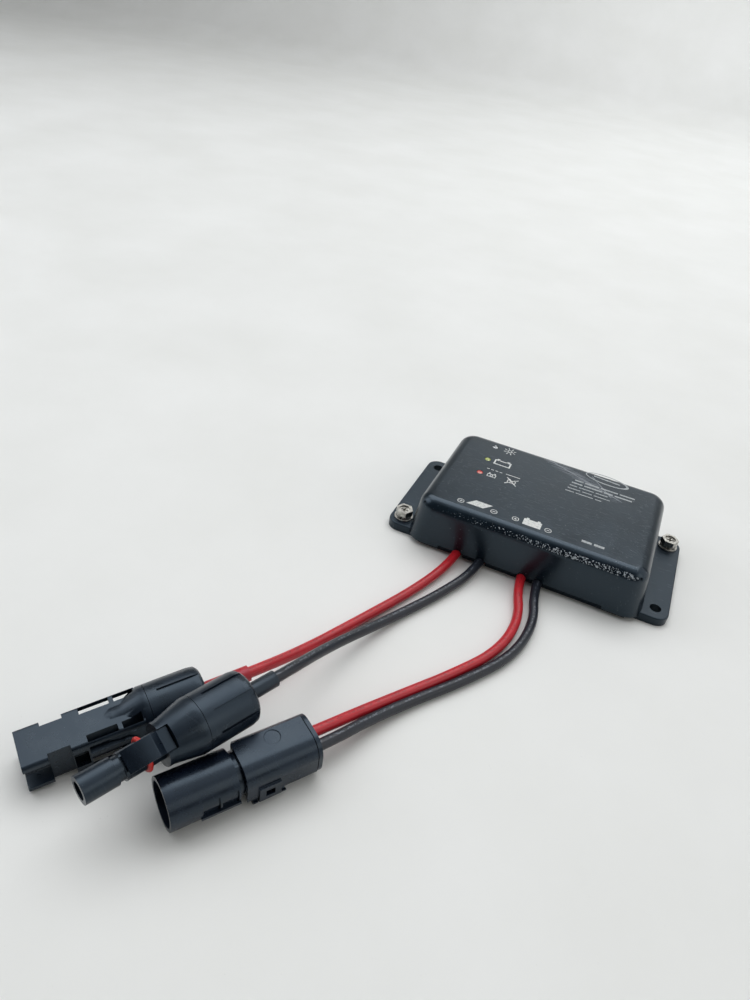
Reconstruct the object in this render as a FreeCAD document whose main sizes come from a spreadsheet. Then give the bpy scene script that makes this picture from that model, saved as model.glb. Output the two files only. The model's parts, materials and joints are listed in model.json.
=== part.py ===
import FreeCAD, Part
import math
import os
import re
import Sketcher
from FreeCAD import Placement, Rotation, Vector

# Sealed solar charge controller with four short leads: two end in single-pole solar
# couplers, two in a two-pole battery plug.  Millimetres, +Z up.  X runs from flange to
# flange, the leads leave the wall that faces -Y, and the origin is the middle of the
# underside of the flanged base.

SIZES = {
    # flanged base
    "flange_span": 130.0,
    "flange_depth": 62.5,
    "flange_thick": 4.0,
    "flange_corner": 5.5,
    "tray_width": 95.6,
    "tray_depth": 66.6,
    "mount_span": 118.0,
    "mount_depth": 49.0,
    "mount_radius": 2.5,
    "tapped_radius": 2.05,
    # cover
    "cover_width": 108.0,
    "cover_depth": 72.0,
    "crown_width": 101.4,
    "crown_depth": 70.8,
    "hollow_width": 96.8,
    "hollow_depth": 66.8,
    "cover_height": 25.2,
    "cover_foot": 2.4,
    "cover_arch": 3.9,
    "arch_half": 37.5,
    "cover_corner": 8.0,
    "cover_edge": 5.6,
    "cover_wall": 2.6,
    "flange_gap": 0.15,
    # inside
    "potting_floor": 4.2,
    "potting_top": 21.0,
    "board_width": 90.0,
    "board_depth": 56.0,
    "board_low": 9.0,
    "board_thick": 1.6,
    "lamp_x": -33.3,
    "lamp_y": 0.4,
    "lamp_pitch": 13.3,
    "lamp_radius": 1.5,
    # leads
    "lead_radius": 2.0,
    "lead_height": 2.05,
    "exit_height": 3.0,
    "lead_start": -27.0,
    # single-pole solar couplers, along their own X, seam at 0, nut behind it
    "nut_radius": 9.2,
    "nut_length": 18.2,
    "nut_thread": 7.1,
    "nut_bore": 3.4,
    "spigot_radius": 6.8,
    "spigot_length": 8.0,
    "seal_bore": 5.4,
    "cage_radius": 5.1,
    "cage_length": 9.0,
    "sleeve_radius": 2.8,
    "shroud_length": 38.9,
    "shroud_half": 7.6,
    "shroud_rise": 6.1,
    "shroud_bore": 4.75,
    "nose_length": 36.8,
    "nose_radius": 4.4,
    "nose_bore": 2.9,
    "shoulder": 12.6,
    "arm_half": 3.6,
    "arm_gap": 0.45,
    "nose_flat": 3.8,
    # battery plug, along its own X, mouth at 0
    "barrel_radius": 8.4,
    "barrel_length": 21.5,
    "barrel_wall": 1.3,
    "plug_length": 49.0,
    "plug_half": 8.5,
    "plug_rise": 8.0,
    "plug_corner": 6.0,
    "way_pitch": 5.6,
    "pin_tip": -5.0,
    "lock_thick": 1.3,
    "hinge_y": 7.6,
    "hinge_z": -5.6,
    "hinge_pin": 0.6,
    "ear_radius": 1.3,
}

WORD = re.compile(r"[a-z][a-z0-9_]*")

doc = FreeCAD.newDocument("Controller")
sheet = doc.addObject("Spreadsheet::Sheet", "Sizes")
for row, (alias, number) in enumerate(SIZES.items(), start=1):
    sheet.set("A%d" % row, alias)
    sheet.set("B%d" % row, str(number))
    sheet.setAlias("B%d" % row, alias)
doc.recompute()

nodes = {}


def formula(text):
    """A formula on the sheet: each size's name is given the sheet's name."""
    return WORD.sub(lambda found: "Sizes." + found.group() if found.group() in SIZES else found.group(),
                    str(text))


def size(text):
    """The number that a formula comes to."""
    return float(sheet.evalExpression(formula(text)))


def bind(thing, path, text):
    thing.setExpression(path, formula(text))


def keep(name, thing, place=None):
    """Make an object a sub-part, with its own name and place."""
    thing.Label = name
    if place is not None:
        thing.Placement = place
    nodes[name] = thing
    return thing


# ---- primitives and booleans -------------------------------------------------------

def block(name, x, y, z):
    """A box between two formulas along each axis."""
    made = doc.addObject("Part::Box", name)
    for axis, side, (low, high) in zip("xyz", ("Length", "Width", "Height"), (x, y, z)):
        bind(made, side, "(%s) - (%s)" % (high, low))
        bind(made, "Placement.Base." + axis, low)
    return made


TURNS = {"X": Rotation(Vector(0, 1, 0), 90), "Y": Rotation(Vector(1, 0, 0), -90), "Z": Rotation()}


def rod(name, radius, low, high, axis="X", x="0", y="0", z="0", kind="Part::Cylinder"):
    """A cylinder along one axis, between two formulas on it."""
    made = doc.addObject(kind, name)
    made.Placement = Placement(Vector(), TURNS[axis])
    if kind == "Part::Cylinder":
        bind(made, "Radius", radius)
    else:
        bind(made, "Radius1", radius[0])
        bind(made, "Radius2", radius[1])
    bind(made, "Height", "(%s) - (%s)" % (high, low))
    for letter, text in zip("xyz", (x, y, z)):
        bind(made, "Placement.Base." + letter, low if letter == axis.lower() else text)
    return made


def cone(name, start_radius, end_radius, low, high, axis="X"):
    return rod(name, (start_radius, end_radius), low, high, axis, kind="Part::Cone")


def fuse(name, *pieces):
    made = doc.addObject("Part::MultiFuse", name)
    made.Shapes = list(pieces)
    made.Refine = True
    return made


def cut(name, base, *tools):
    made = doc.addObject("Part::Cut", name)
    made.Base = base
    made.Tool = tools[0] if len(tools) == 1 else fuse(name + "_tools", *tools)
    made.Refine = True
    return made


def common(name, base, tool):
    made = doc.addObject("Part::Common", name)
    made.Base = base
    made.Tool = tool
    made.Refine = True
    return made


def tube(name, outer, inner, low, high, axis="X", y="0", z="0"):
    return cut(name, rod(name + "_outer", outer, low, high, axis, y=y, z=z),
               rod(name + "_inner", inner, low, high, axis, y=y, z=z))


def round_edges(name, base, radius, chosen):
    """Fillet the edges of an object that a test picks."""
    doc.recompute()
    made = doc.addObject("Part::Fillet", name)
    made.Base = base
    made.Edges = [(number, size(radius), size(radius))
                  for number, edge in enumerate(base.Shape.Edges, start=1) if chosen(edge)]
    doc.recompute()
    return made


# ---- bodies and sketches -----------------------------------------------------------

def new_body(name):
    return doc.addObject("PartDesign::Body", name)


def origin_feature(body, role):
    return next(feature for feature in body.Origin.OriginFeatures if feature.Role == role)


def sketch(body, name, role="XY_Plane", lift=None):
    drawing = body.newObject("Sketcher::SketchObject", name)
    drawing.AttachmentSupport = (origin_feature(body, role), [""])
    drawing.MapMode = "FlatFace"
    if lift is not None:
        bind(drawing, "AttachmentOffset.Base.z", lift)
    return drawing


def fix_point(drawing, geometry, point, x, y):
    """Hold a point of the sketch by two formulas from the origin."""
    for kind, text in (("DistanceX", x), ("DistanceY", y)):
        number = drawing.addConstraint(Sketcher.Constraint(kind, -1, 1, geometry, point, size(text)))
        bind(drawing, "Constraints[%d]" % number, text)


def outline(drawing, points):
    """A closed outline of straight sides, each corner held by two formulas."""
    spots = [Vector(size(x), size(y), 0) for x, y in points]
    first = drawing.GeometryCount
    count = len(spots)
    for index in range(count):
        drawing.addGeometry(Part.LineSegment(spots[index], spots[(index + 1) % count]), False)
    for index in range(count):
        following = first + (index + 1) % count
        drawing.addConstraint(Sketcher.Constraint("Coincident", first + index, 2, following, 1))
    for index, (x, y) in enumerate(points):
        fix_point(drawing, first + index, 1, x, y)


def rectangle(drawing, x, y):
    outline(drawing, [(x[0], y[0]), (x[1], y[0]), (x[1], y[1]), (x[0], y[1])])


def circle(drawing, radius, x="0", y="0"):
    spot = Vector(size(x), size(y), 0)
    index = drawing.addGeometry(Part.Circle(spot, Vector(0, 0, 1), size(radius)), False)
    number = drawing.addConstraint(Sketcher.Constraint("Radius", index, size(radius)))
    bind(drawing, "Constraints[%d]" % number, radius)
    fix_point(drawing, index, 3, x, y)


def pad(body, drawing, length):
    feature = body.newObject("PartDesign::Pad", drawing.Name + "_pad")
    feature.Profile = drawing
    bind(feature, "Length", length)
    doc.recompute()
    return feature


def pocket(body, drawing, length):
    """Cut a sketch along its own normal, and see that something was really cut."""
    before = body.Shape.Volume
    feature = body.newObject("PartDesign::Pocket", drawing.Name + "_pocket")
    feature.Profile = drawing
    bind(feature, "Length", length)
    feature.Reversed = True
    doc.recompute()
    if body.Shape.Volume > before - 0.01:
        raise ValueError(drawing.Name + " cuts nothing")
    return feature


def revolve(body, drawing):
    """Turn a sketch's profile about the sketch's own horizontal axis."""
    feature = body.newObject("PartDesign::Revolution", drawing.Name + "_turned")
    feature.Profile = drawing
    feature.ReferenceAxis = (drawing, ["H_Axis"])
    feature.Angle = 360.0
    doc.recompute()
    return feature


def polar(body, feature, count, role="X_Axis"):
    pattern = body.newObject("PartDesign::PolarPattern", feature.Name + "_ring")
    pattern.Originals = [feature]
    pattern.Axis = (origin_feature(body, role), [""])
    pattern.Angle = 360.0
    pattern.Occurrences = count
    body.Tip = pattern
    doc.recompute()
    return pattern


def fillet(body, feature, radius, chosen):
    doc.recompute()
    names = ["Edge%d" % number for number, edge in enumerate(feature.Shape.Edges, start=1) if chosen(edge)]
    made = body.newObject("PartDesign::Fillet", feature.Name + "_fillet")
    made.Base = (feature, names)
    bind(made, "Radius", radius)
    doc.recompute()
    return made


def turned(name, profile):
    """A body turned about its X axis from a profile of (along, radius) formulas."""
    body = new_body(name + "_body")
    drawing = sketch(body, name + "_profile", "XZ_Plane")
    outline(drawing, profile)
    revolve(body, drawing)
    return body


def upright(edge):
    box = edge.BoundBox
    return box.ZLength > 0.5 and box.XLength < 0.01 and box.YLength < 0.01


def lies_at(level, tolerance=0.01):
    """A test for edges that lie flat at one height."""
    return lambda edge: (edge.BoundBox.ZLength < tolerance and abs(edge.BoundBox.ZMax - level) < tolerance)


# ---- places of the plugs -----------------------------------------------------------

def plug_place(x, y, z, heading, dip=0.0, roll=0.0):
    """The place of a plug: its own X points at its mouth, by heading and dip below level."""
    aim = Rotation(Vector(0, 0, 1), heading) * Rotation(Vector(0, 1, 0), dip)
    return Placement(Vector(x, y, z), aim * Rotation(Vector(1, 0, 0), roll))


PIN_COUPLER = plug_place(-88.5, -175.7, 9.4, -125.8, dip=4.0)
SOCKET_COUPLER = plug_place(-67.6, -179.9, 21.6, -113.6, roll=-30.0)
BATTERY_PLUG = plug_place(-65.9, -200.0, 8.5, -124.6)
CORNERS = ((-1, -1), (1, 1))
LEAD_EXITS = {"solar_red": -28.2, "solar_black": -17.2, "battery_red": 1.5, "battery_black": 8.9}


def on_plug(place, along, across=0.0):
    """A point on a plug's own axis, or beside it, in the model's frame."""
    return place.multVec(Vector(along, across, 0))


# ---- controller --------------------------------------------------------------------

def flanged_base():
    body = new_body("base_body")
    plate = sketch(body, "flange_outline")
    rectangle(plate, ("-flange_span / 2", "flange_span / 2"), ("-flange_depth / 2", "flange_depth / 2"))
    tray = sketch(body, "tray_outline")
    rectangle(tray, ("-tray_width / 2", "tray_width / 2"), ("-tray_depth / 2", "tray_depth / 2"))
    flanges = pad(body, plate, "flange_thick")
    half_span = size("flange_span / 2")
    rounded = fillet(body, flanges, "flange_corner", upright)
    fillet(body, rounded, "0.6", lambda edge: lies_at(size("flange_thick"))(edge) and
           abs(edge.CenterOfMass.x) > half_span - 8)
    pad(body, tray, "flange_thick")
    holes = sketch(body, "mounting_holes")
    for x, y in ((-1, -1), (-1, 1), (1, -1), (1, 1)):
        bore = "tapped_radius" if (x, y) in CORNERS else "mount_radius"
        circle(holes, bore, "%d * mount_span / 2" % x, "%d * mount_depth / 2" % y)
    pocket(body, holes, "flange_thick")
    slots = sketch(body, "lead_slots")
    for place in LEAD_EXITS.values():
        rectangle(slots, ("%.2f - lead_radius - 0.15" % place, "%.2f + lead_radius + 0.15" % place),
                  ("-tray_depth / 2 - 1", "lead_start"))
    pocket(body, slots, "flange_thick")
    keep("flanged_base", body)


def top_cover():
    """A moulded lid that widens to its foot, open below, arched over the base at front and back."""
    shell = doc.addObject("Part::Wedge", "cover_block")
    for level, width, depth in (("", "cover_width / 2", "cover_depth / 2"),
                                ("2", "crown_width / 2", "crown_depth / 2")):
        bind(shell, "X%smin" % level, "-" + width)
        bind(shell, "X%smax" % level, width)
        bind(shell, "Z%smin" % level, "-" + depth)
        bind(shell, "Z%smax" % level, depth)
    bind(shell, "Ymin", "cover_foot")
    bind(shell, "Ymax", "cover_height")
    shell.Placement = Placement(Vector(), Rotation(Vector(1, 0, 0), 90))
    corners = round_edges("cover_corners", shell, "cover_corner", lambda edge: edge.BoundBox.ZLength > 5)
    rounded = round_edges("cover_rounded", corners, "cover_edge", lies_at(size("cover_height")))
    reach = "cover_depth / 2 + 1"
    tools = [
        block("cover_hollow", ("-hollow_width / 2", "hollow_width / 2"),
              ("-hollow_depth / 2", "hollow_depth / 2"), ("0", "cover_height - cover_wall")),
        block("cover_arches", ("-arch_half", "arch_half"), ("-(%s)" % reach, reach), ("0", "cover_arch")),
        block("flange_gates", ("-cover_width", "cover_width"),
              ("-flange_depth / 2 - flange_gap", "flange_depth / 2 + flange_gap"),
              ("0", "flange_thick + flange_gap")),
    ]
    for name, place in LEAD_EXITS.items():
        tools.append(rod(name + "_notch", "lead_radius + 0.12", "-(%s)" % reach, "0", "Y", "%.2f" % place,
                         z="exit_height"))
    for step in range(3):
        tools.append(rod("lamp_window_%d" % step, "lamp_radius + 0.05", "potting_top", "cover_height + 1",
                         "Z", "lamp_x", "lamp_y + %d * lamp_pitch" % step))
    keep("top_cover", cut("cover_open", rounded, *tools))


def circuit_board():
    body = new_body("board_body")
    drawing = sketch(body, "board_outline", lift="board_low")
    rectangle(drawing, ("-board_width / 2", "board_width / 2"), ("-board_depth / 2", "board_depth / 2"))
    pad(body, drawing, "board_thick")
    holes = sketch(body, "lamp_leg_holes", lift="board_low")
    for step in range(3):
        for side in ("-", "+"):
            circle(holes, "0.45", "lamp_x %s 1.27" % side, "lamp_y + %d * lamp_pitch" % step)
    pocket(body, holes, "board_thick")
    keep("circuit_board", body)


def power_transistors():
    """Four surface-mounted transistors under the board, their tabs on the thermal pad."""
    packs = []
    for number in range(4):
        middle = "%d - 24" % (number * 16)
        case = block("transistor_case_%d" % number, (middle + " - 5", middle + " + 5"), ("4", "13"),
                     ("flange_thick + 0.8", "board_low"))
        tab = block("transistor_tab_%d" % number, (middle + " - 5", middle + " + 5"), ("13", "15.5"),
                    ("flange_thick + 0.8", "flange_thick + 2.1"))
        packs.append(fuse("transistor_%d" % number, case, tab))
    together = doc.addObject("Part::Compound", "transistor_row")
    together.Links = packs
    keep("power_transistors", together)


def thermal_pad():
    keep("thermal_pad", block("pad_sheet", ("-31", "31"), ("2.5", "17"),
                              ("flange_thick", "flange_thick + 0.8")))


def filter_capacitor():
    top = "board_low + board_thick"
    can = rod("capacitor_can", "5", top, top + " + 9.5", "Z", "30", "14")
    groove = doc.addObject("Part::Torus", "capacitor_groove")
    groove.Radius1 = 5.3
    groove.Radius2 = 0.7
    groove.Placement.Base = Vector(30, 14, size(top) + 1.6)
    keep("filter_capacitor", cut("capacitor", can, groove))


def power_inductor():
    top = "board_low + board_thick"
    core = block("inductor_core", ("4", "17"), ("-16", "-3"), (top, top + " + 6"))
    keep("power_inductor", round_edges("inductor", core, "1.6", upright))


def control_chip():
    top = "board_low + board_thick"
    keep("control_chip", block("chip_case", ("-14", "-5"), ("4", "13"), (top, top + " + 1.6")))


def status_lamp(name, step):
    """A round-nosed lamp on two legs, its nose flush in the cover."""
    y = "lamp_y + %d * lamp_pitch" % step
    low = "potting_top - 5"
    nose = rod(name + "_nose", "lamp_radius", low, "cover_height", "Z", "lamp_x", y)
    rounded = round_edges(name + "_rounded", nose, "0.5", lies_at(size("cover_height")))
    rim = rod(name + "_rim", "lamp_radius + 0.4", low, low + " + 1", "Z", "lamp_x", y)
    legs = [rod("%s_leg_%d" % (name, index), "0.3", "board_low", low + " + 0.2", "Z",
                "lamp_x %s 1.27" % side, y)
            for index, side in enumerate("-+")]
    keep(name, fuse(name + "_whole", rounded, rim, *legs))


def potting_compound():
    """The resin that fills the cover round everything on the board."""
    half_x = "hollow_width / 2 - 0.05"
    half_y = "hollow_depth / 2 - 0.05"
    fill = block("resin", ("-(%s)" % half_x, half_x), ("-(%s)" % half_y, half_y),
                 ("potting_floor", "potting_top"))
    held = ("circuit_board", "power_transistors", "thermal_pad", "filter_capacitor", "power_inductor",
            "control_chip", "supply_lamp", "battery_lamp", "fault_lamp")
    channels = [rod("resin_channel_%d" % number, "lead_radius + 0.1", "-cover_depth / 2", "lead_start", "Y",
                    "%.2f" % place, z="exit_height")
                for number, place in enumerate(LEAD_EXITS.values())]
    keep("potting_compound", cut("resin_round_parts", fill, *[nodes[name] for name in held], *channels))


# ---- fasteners: two opposite corners of the mounting pattern hold one each ----------

def at_corners(name, make):
    """One solid at each corner that holds a fastener, kept as one node."""
    made = doc.addObject("Part::Compound", name + "_pair")
    made.Links = [make("%s_%d" % (name, number), "%d * mount_span / 2" % x, "%d * mount_depth / 2" % y)
                  for number, (x, y) in enumerate(CORNERS)]
    keep(name, made)


def flat_washer(name, x, y):
    low = "flange_thick"
    high = "flange_thick + 0.8"
    return cut(name, rod(name + "_disc", "4.4", low, high, "Z", x, y),
               rod(name + "_hole", "2.15", low, high, "Z", x, y))


def spring_washer(name, x, y):
    low = "flange_thick + 0.8"
    high = "flange_thick + 1.9"
    ring = cut(name + "_ring", rod(name + "_disc", "3.7", low, high, "Z", x, y),
               rod(name + "_hole", "2.15", low, high, "Z", x, y))
    split = block(name + "_split", (x + " - 0.35", x + " + 0.35"), (y + " - 4", y), (low, high))
    return cut(name, ring, split)


def flange_screw(name, x, y):
    """A hexagon-head machine screw with a dished top and a cross recess."""
    seat = "flange_thick + 1.9"
    top = "flange_thick + 4.6"
    head = doc.addObject("Part::Prism", name + "_hexagon")
    head.Polygon = 6
    head.Circumradius = 4.04
    bind(head, "Height", "(%s) - (%s)" % (top, seat))
    for axis, text in zip("xyz", (x, y, seat)):
        bind(head, "Placement.Base." + axis, text)
    dish = rod(name + "_dish", "2.5", top + " - 0.7", top, "Z", x, y)
    dished = cut(name + "_dished", head, dish)
    slot_low = top + " - 1.9"
    depth = (slot_low, top)
    along = block(name + "_slot_a", (x + " - 1.7", x + " + 1.7"), (y + " - 0.4", y + " + 0.4"), depth)
    across = block(name + "_slot_b", (x + " - 0.4", x + " + 0.4"), (y + " - 1.7", y + " + 1.7"), depth)
    driven = cut(name + "_head", dished, along, across)
    shank = rod(name + "_shank", "2", "0.3", seat, "Z", x, y)
    return fuse(name, driven, shank)


# ---- parts that both solar couplers have --------------------------------------------

def gland_nut(name, place):
    body = turned(name, [
        ("0 - 0.15", "nut_thread"), ("0 - 0.15", "nut_radius"), ("-nut_length + 3", "nut_radius"),
        ("-nut_length + 0.9", "nut_radius - 0.35"), ("-nut_length", "nut_radius - 1.3"),
        ("-nut_length", "nut_bore"), ("-nut_length + 1.5", "nut_bore"),
        ("-nut_length + 3.6", "cage_radius + 0.25"), ("-spigot_length - 0.6", "cage_radius + 0.25"),
        ("-spigot_length - 0.6", "nut_thread")])
    flute = sketch(body, name + "_flute", "YZ_Plane", lift="-nut_length - 0.5")
    rectangle(flute, ("-0.5", "0.5"), ("nut_radius - 0.55", "nut_radius + 1"))
    groove = pocket(body, flute, "nut_length - 3")
    polar(body, groove, 8)
    keep(name, body, place)


def clamp_cage(name, place):
    """The fingered cage that the nut presses round the lead."""
    back = "-spigot_length - cage_length + 3.4"
    body = turned(name, [
        (back, "sleeve_radius + 0.35"), (back, "cage_radius - 0.9"), (back + " + 1.5", "cage_radius"),
        ("-4.2", "cage_radius"), ("-4.2", "sleeve_radius + 0.35")])
    slit = sketch(body, name + "_slit", "YZ_Plane", lift=back + " - 0.5")
    rectangle(slit, ("-0.45", "0.45"), ("sleeve_radius", "cage_radius + 1"))
    fingers = pocket(body, slit, "cage_length - 4.4")
    polar(body, fingers, 6)
    keep(name, body, place)


def cable_seal(name, place):
    keep(name, tube(name + "_ring", "seal_bore", "2.65", "-3.6", "1.9"), place)


def rear_spigot(name, flare_end):
    """The threaded spigot behind the seam, its collar, and the flare down to the body."""
    spigot = rod(name + "_spigot", "spigot_radius", "-spigot_length", "1", "X")
    collar = rod(name + "_collar", "nut_radius", "0", "1.8", "X")
    flare = cone(name + "_flare", "nut_radius", "shroud_rise + 0.5", "1.8", flare_end)
    return fuse(name + "_rear", spigot, collar, flare)


def contact_bores(name, end):
    """The seal's bore and the contact's bore, through the rear of a coupler's housing."""
    return [rod(name + "_seal_bore", "seal_bore", "-spigot_length - 1", "2", "X"),
            rod(name + "_contact_bore", "3.05", "1", end, "X")]


# ---- pin coupler: the one with the wide shroud ---------------------------------------

def pin_coupler_housing():
    name = "pin_coupler"
    body = block(name + "_block", ("2.4", "shroud_length"), ("-shroud_half", "shroud_half"),
                 ("-shroud_rise", "shroud_rise"))
    rounded = round_edges(name + "_rounded", body, "1.2",
                          lambda edge: edge.BoundBox.XLength > 20)
    # each side is open above and below a web at mid height
    sides = [("5.7", "9"), ("-9", "-5.7")]
    levels = [("0.8", "4.3"), ("-4.3", "-0.8")]
    spans = [(across, level) for across in sides for level in levels]
    channels = [block("%s_side_channel_%d" % (name, number), ("2", "19.9"), across, level)
                for number, (across, level) in enumerate(spans)]
    plates = cut(name + "_plates", rounded, *channels)
    barrel = rod(name + "_barrel", "shroud_rise + 0.5", "1", "11", "X")
    nose = cone(name + "_barrel_nose", "shroud_rise + 0.5", "shroud_rise - 0.4", "11", "15.5")
    solid = fuse(name + "_solid", plates, barrel, nose, rear_spigot(name, "8"))
    tools = contact_bores(name, "14")
    tools.append(rod(name + "_mating_bore", "shroud_bore", "13", "shroud_length + 1", "X"))
    for side, (near, far) in (("left", ("5.45", "9")), ("right", ("-9", "-5.45"))):
        tools.append(block("%s_%s_recess" % (name, side), ("24.8", "31.4"), (near, far), ("-7", "7")))
    tools.append(block(name + "_arm_channel", ("31.4", "shroud_length + 1"), ("-9", "9"), ("-3.9", "3.9")))
    tools.append(block(name + "_latch_windows", ("20.4", "24.6"), ("-9", "9"), ("-3.2", "3.2")))
    for row in ("", "-"):
        near, far = sorted((row + "4.3", row + "6.95"), key=size)
        for level, (low, high) in (("top", ("2.6", "8")), ("under", ("-8", "-2.6"))):
            for part, (start, end) in (("long", ("10.6", "19.9")), ("short", ("2.9", "9.2"))):
                label = "%s_%s_%s_%s" % (name, part, level, "left" if row else "right")
                tools.append(block(label, (start, end), (near, far), (low, high)))
    keep("pin_coupler_housing", cut(name + "_cut", solid, *tools), PIN_COUPLER)


def pin_contact():
    body = turned("pin", [
        ("-3.5", "0"), ("-3.5", "2.6"), ("3", "2.6"), ("3", "3"), ("13", "3"), ("13", "2"),
        ("33", "2"), ("34.5", "1"), ("34.5", "0")])
    keep("pin_contact", body, PIN_COUPLER)


# ---- socket coupler: the one with the narrow nose and two latch arms -----------------

def socket_coupler_housing():
    name = "socket_coupler"
    body = common(name + "_flats", rod(name + "_body", "7", "1", "shoulder", "X"),
                  block(name + "_gauge", ("0", "shoulder"), ("-7", "7"), ("-6.5", "6.5")))
    nose = rod(name + "_nose", "nose_radius", "shoulder - 1", "nose_length", "X")
    solid = fuse(name + "_solid", body, nose, rear_spigot(name, "shoulder"))
    tools = contact_bores(name, "nose_length - 3")
    tools.append(rod(name + "_mouth", "nose_bore", "nose_length - 4", "nose_length + 1", "X"))
    ring_seat = tube(name + "_ring_seat", "nose_radius + 1", "nose_radius - 0.45", "16.9", "18.5")
    tools.append(ring_seat)
    tip_groove = tube(name + "_tip_groove", "nose_radius + 1", "nose_radius - 0.6", "24.6", "26.6")
    tools.append(tip_groove)
    for side, sign in (("upper", ""), ("lower", "-")):
        deep = sorted((sign + "4.2", sign + "9"), key=size)
        flat = sorted((sign + "nose_flat", sign + "9"), key=size)
        tools.append(block("%s_%s_arm_root" % (name, side), ("shoulder - 3.2", "shoulder + 0.1"),
                           ("-arm_half - 0.2", "arm_half + 0.2"), deep))
        tools.append(block("%s_%s_nose_flat" % (name, side), ("shoulder", "24.6"),
                           ("-arm_half - 0.2", "arm_half + 0.2"), flat))
    keep("socket_coupler_housing", cut(name + "_cut", solid, *tools), SOCKET_COUPLER)


def socket_contact():
    body = turned("socket", [
        ("-3.5", "0"), ("-3.5", "2.6"), ("3", "2.6"), ("3", "2.95"), ("nose_length - 3.4", "2.95"),
        ("nose_length - 3.4", "2.05"), ("nose_length - 18", "2.05"), ("nose_length - 18", "0")])
    keep("socket_contact", body, SOCKET_COUPLER)


def latch_arm(name, side):
    """A barbed arm rooted in the shoulder, standing off the nose by a small gap."""
    body = new_body(name + "_body")
    drawing = sketch(body, name + "_side", "XZ_Plane", lift="-arm_half")
    foot = "nose_radius + arm_gap"
    profile = [("shoulder - 2.9", "4.5"), ("shoulder + 0.6", "4.5"), ("shoulder + 1.2", foot), ("16.4", foot),
               ("16.4", "6.1"), ("19", "6.1"), ("19", foot), ("24.2", foot), ("24.2", "nose_radius + 0.85"),
               ("19.4", "7"), ("15.2", "7.3"), ("shoulder + 0.3", "5.5"), ("shoulder - 2.9", "5.5")]
    outline(drawing, [(along, "%d * (%s)" % (side, out)) for along, out in profile])
    pad(body, drawing, "2 * arm_half")
    keep(name, body, SOCKET_COUPLER)


def socket_coupler_o_ring():
    ring = doc.addObject("Part::Torus", "o_ring")
    bind(ring, "Radius1", "nose_radius + 0.35")
    ring.Radius2 = 0.8
    turn = Placement(Vector(17.7, 0, 0), Rotation(Vector(0, 1, 0), 90))
    keep("socket_coupler_o_ring", ring, SOCKET_COUPLER * turn)


# ---- battery plug --------------------------------------------------------------------

def battery_plug_housing():
    name = "battery_plug"
    barrel = rod(name + "_barrel", "barrel_radius", "-barrel_length", "0", "X")
    neck = rod(name + "_neck", "barrel_radius - 1.5", "-barrel_length - 5", "-barrel_length + 1", "X")
    shoulder = block(name + "_rear", ("-plug_length", "-25"), ("-plug_half", "plug_half"),
                     ("-plug_rise", "plug_rise"))
    rounded = round_edges(name + "_rounded", shoulder, "plug_corner", lambda edge: edge.BoundBox.XLength > 20)
    # what is left inside the step that the rear lock lies in, over the top and the near side
    core = round_edges(name + "_core", block(name + "_core_block", ("-plug_length", "-20"),
                                             ("-20", "plug_half - lock_thick - 0.15"),
                                             ("-20", "plug_rise - lock_thick - 0.15")),
                       "plug_corner - lock_thick - 0.15",
                       lambda edge: edge.BoundBox.XLength > 20 and edge.CenterOfMass.y > 0
                       and edge.CenterOfMass.z > 0)
    tools = [
        rod(name + "_mouth", "barrel_radius - barrel_wall", "-17", "1", "X"),
        cut(name + "_lock_step", block(name + "_lock_room", ("-plug_length + 1.4", "-23"), ("-5.2", "12"),
                                       ("-5.4", "12")), core),
    ]
    tools.append(rod(name + "_hinge_groove", "1.4", "-34.9", "-26.9", "X", y="hinge_y", z="hinge_z"))
    tools.append(block(name + "_strap_groove", ("-34.9", "-26.9"), ("6.8", "12"), ("hinge_z", "-5.2")))
    tools.append(rod(name + "_hinge_bore", "hinge_pin + 0.05", "-36.4", "-25.4", "X", y="hinge_y",
                     z="hinge_z"))
    for side in ("-", ""):
        y = side + "way_pitch / 2"
        tools.append(rod("%s_way_%s" % (name, "red" if side else "black"), "1.6", "-26", "-16", "X", y=y))
        tools.append(rod("%s_seal_way_%s" % (name, "red" if side else "black"), "2.6", "-plug_length - 1",
                         "-25", "X", y=y))
    for number, (start, end) in enumerate((("-15", "-9.6"), ("-20.9", "-15.6"))):
        panel = "%s_panel_%d" % (name, number)
        skin = tube(panel + "_ring", "barrel_radius + 2", "barrel_radius - 0.7", start, end)
        tools.append(common(panel, skin, block(panel + "_gauge", (start, end), ("0", "12"), ("-1.8", "3.4"))))
    rail = block(name + "_rail", ("-barrel_length", "-9"), ("6", "barrel_radius + 0.3"), ("-2.9", "-1.9"))
    ears = [rod("%s_ear_%d" % (name, number), "ear_radius", low, high, "X", y="hinge_y", z="hinge_z")
            for number, (low, high) in enumerate((("-36.4", "-34.9"), ("-26.9", "-25.4")))]
    solid = fuse(name + "_solid", barrel, neck, rounded, rail, *ears)
    keep("battery_plug_housing", cut(name + "_cut", solid, *tools), BATTERY_PLUG)


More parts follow.
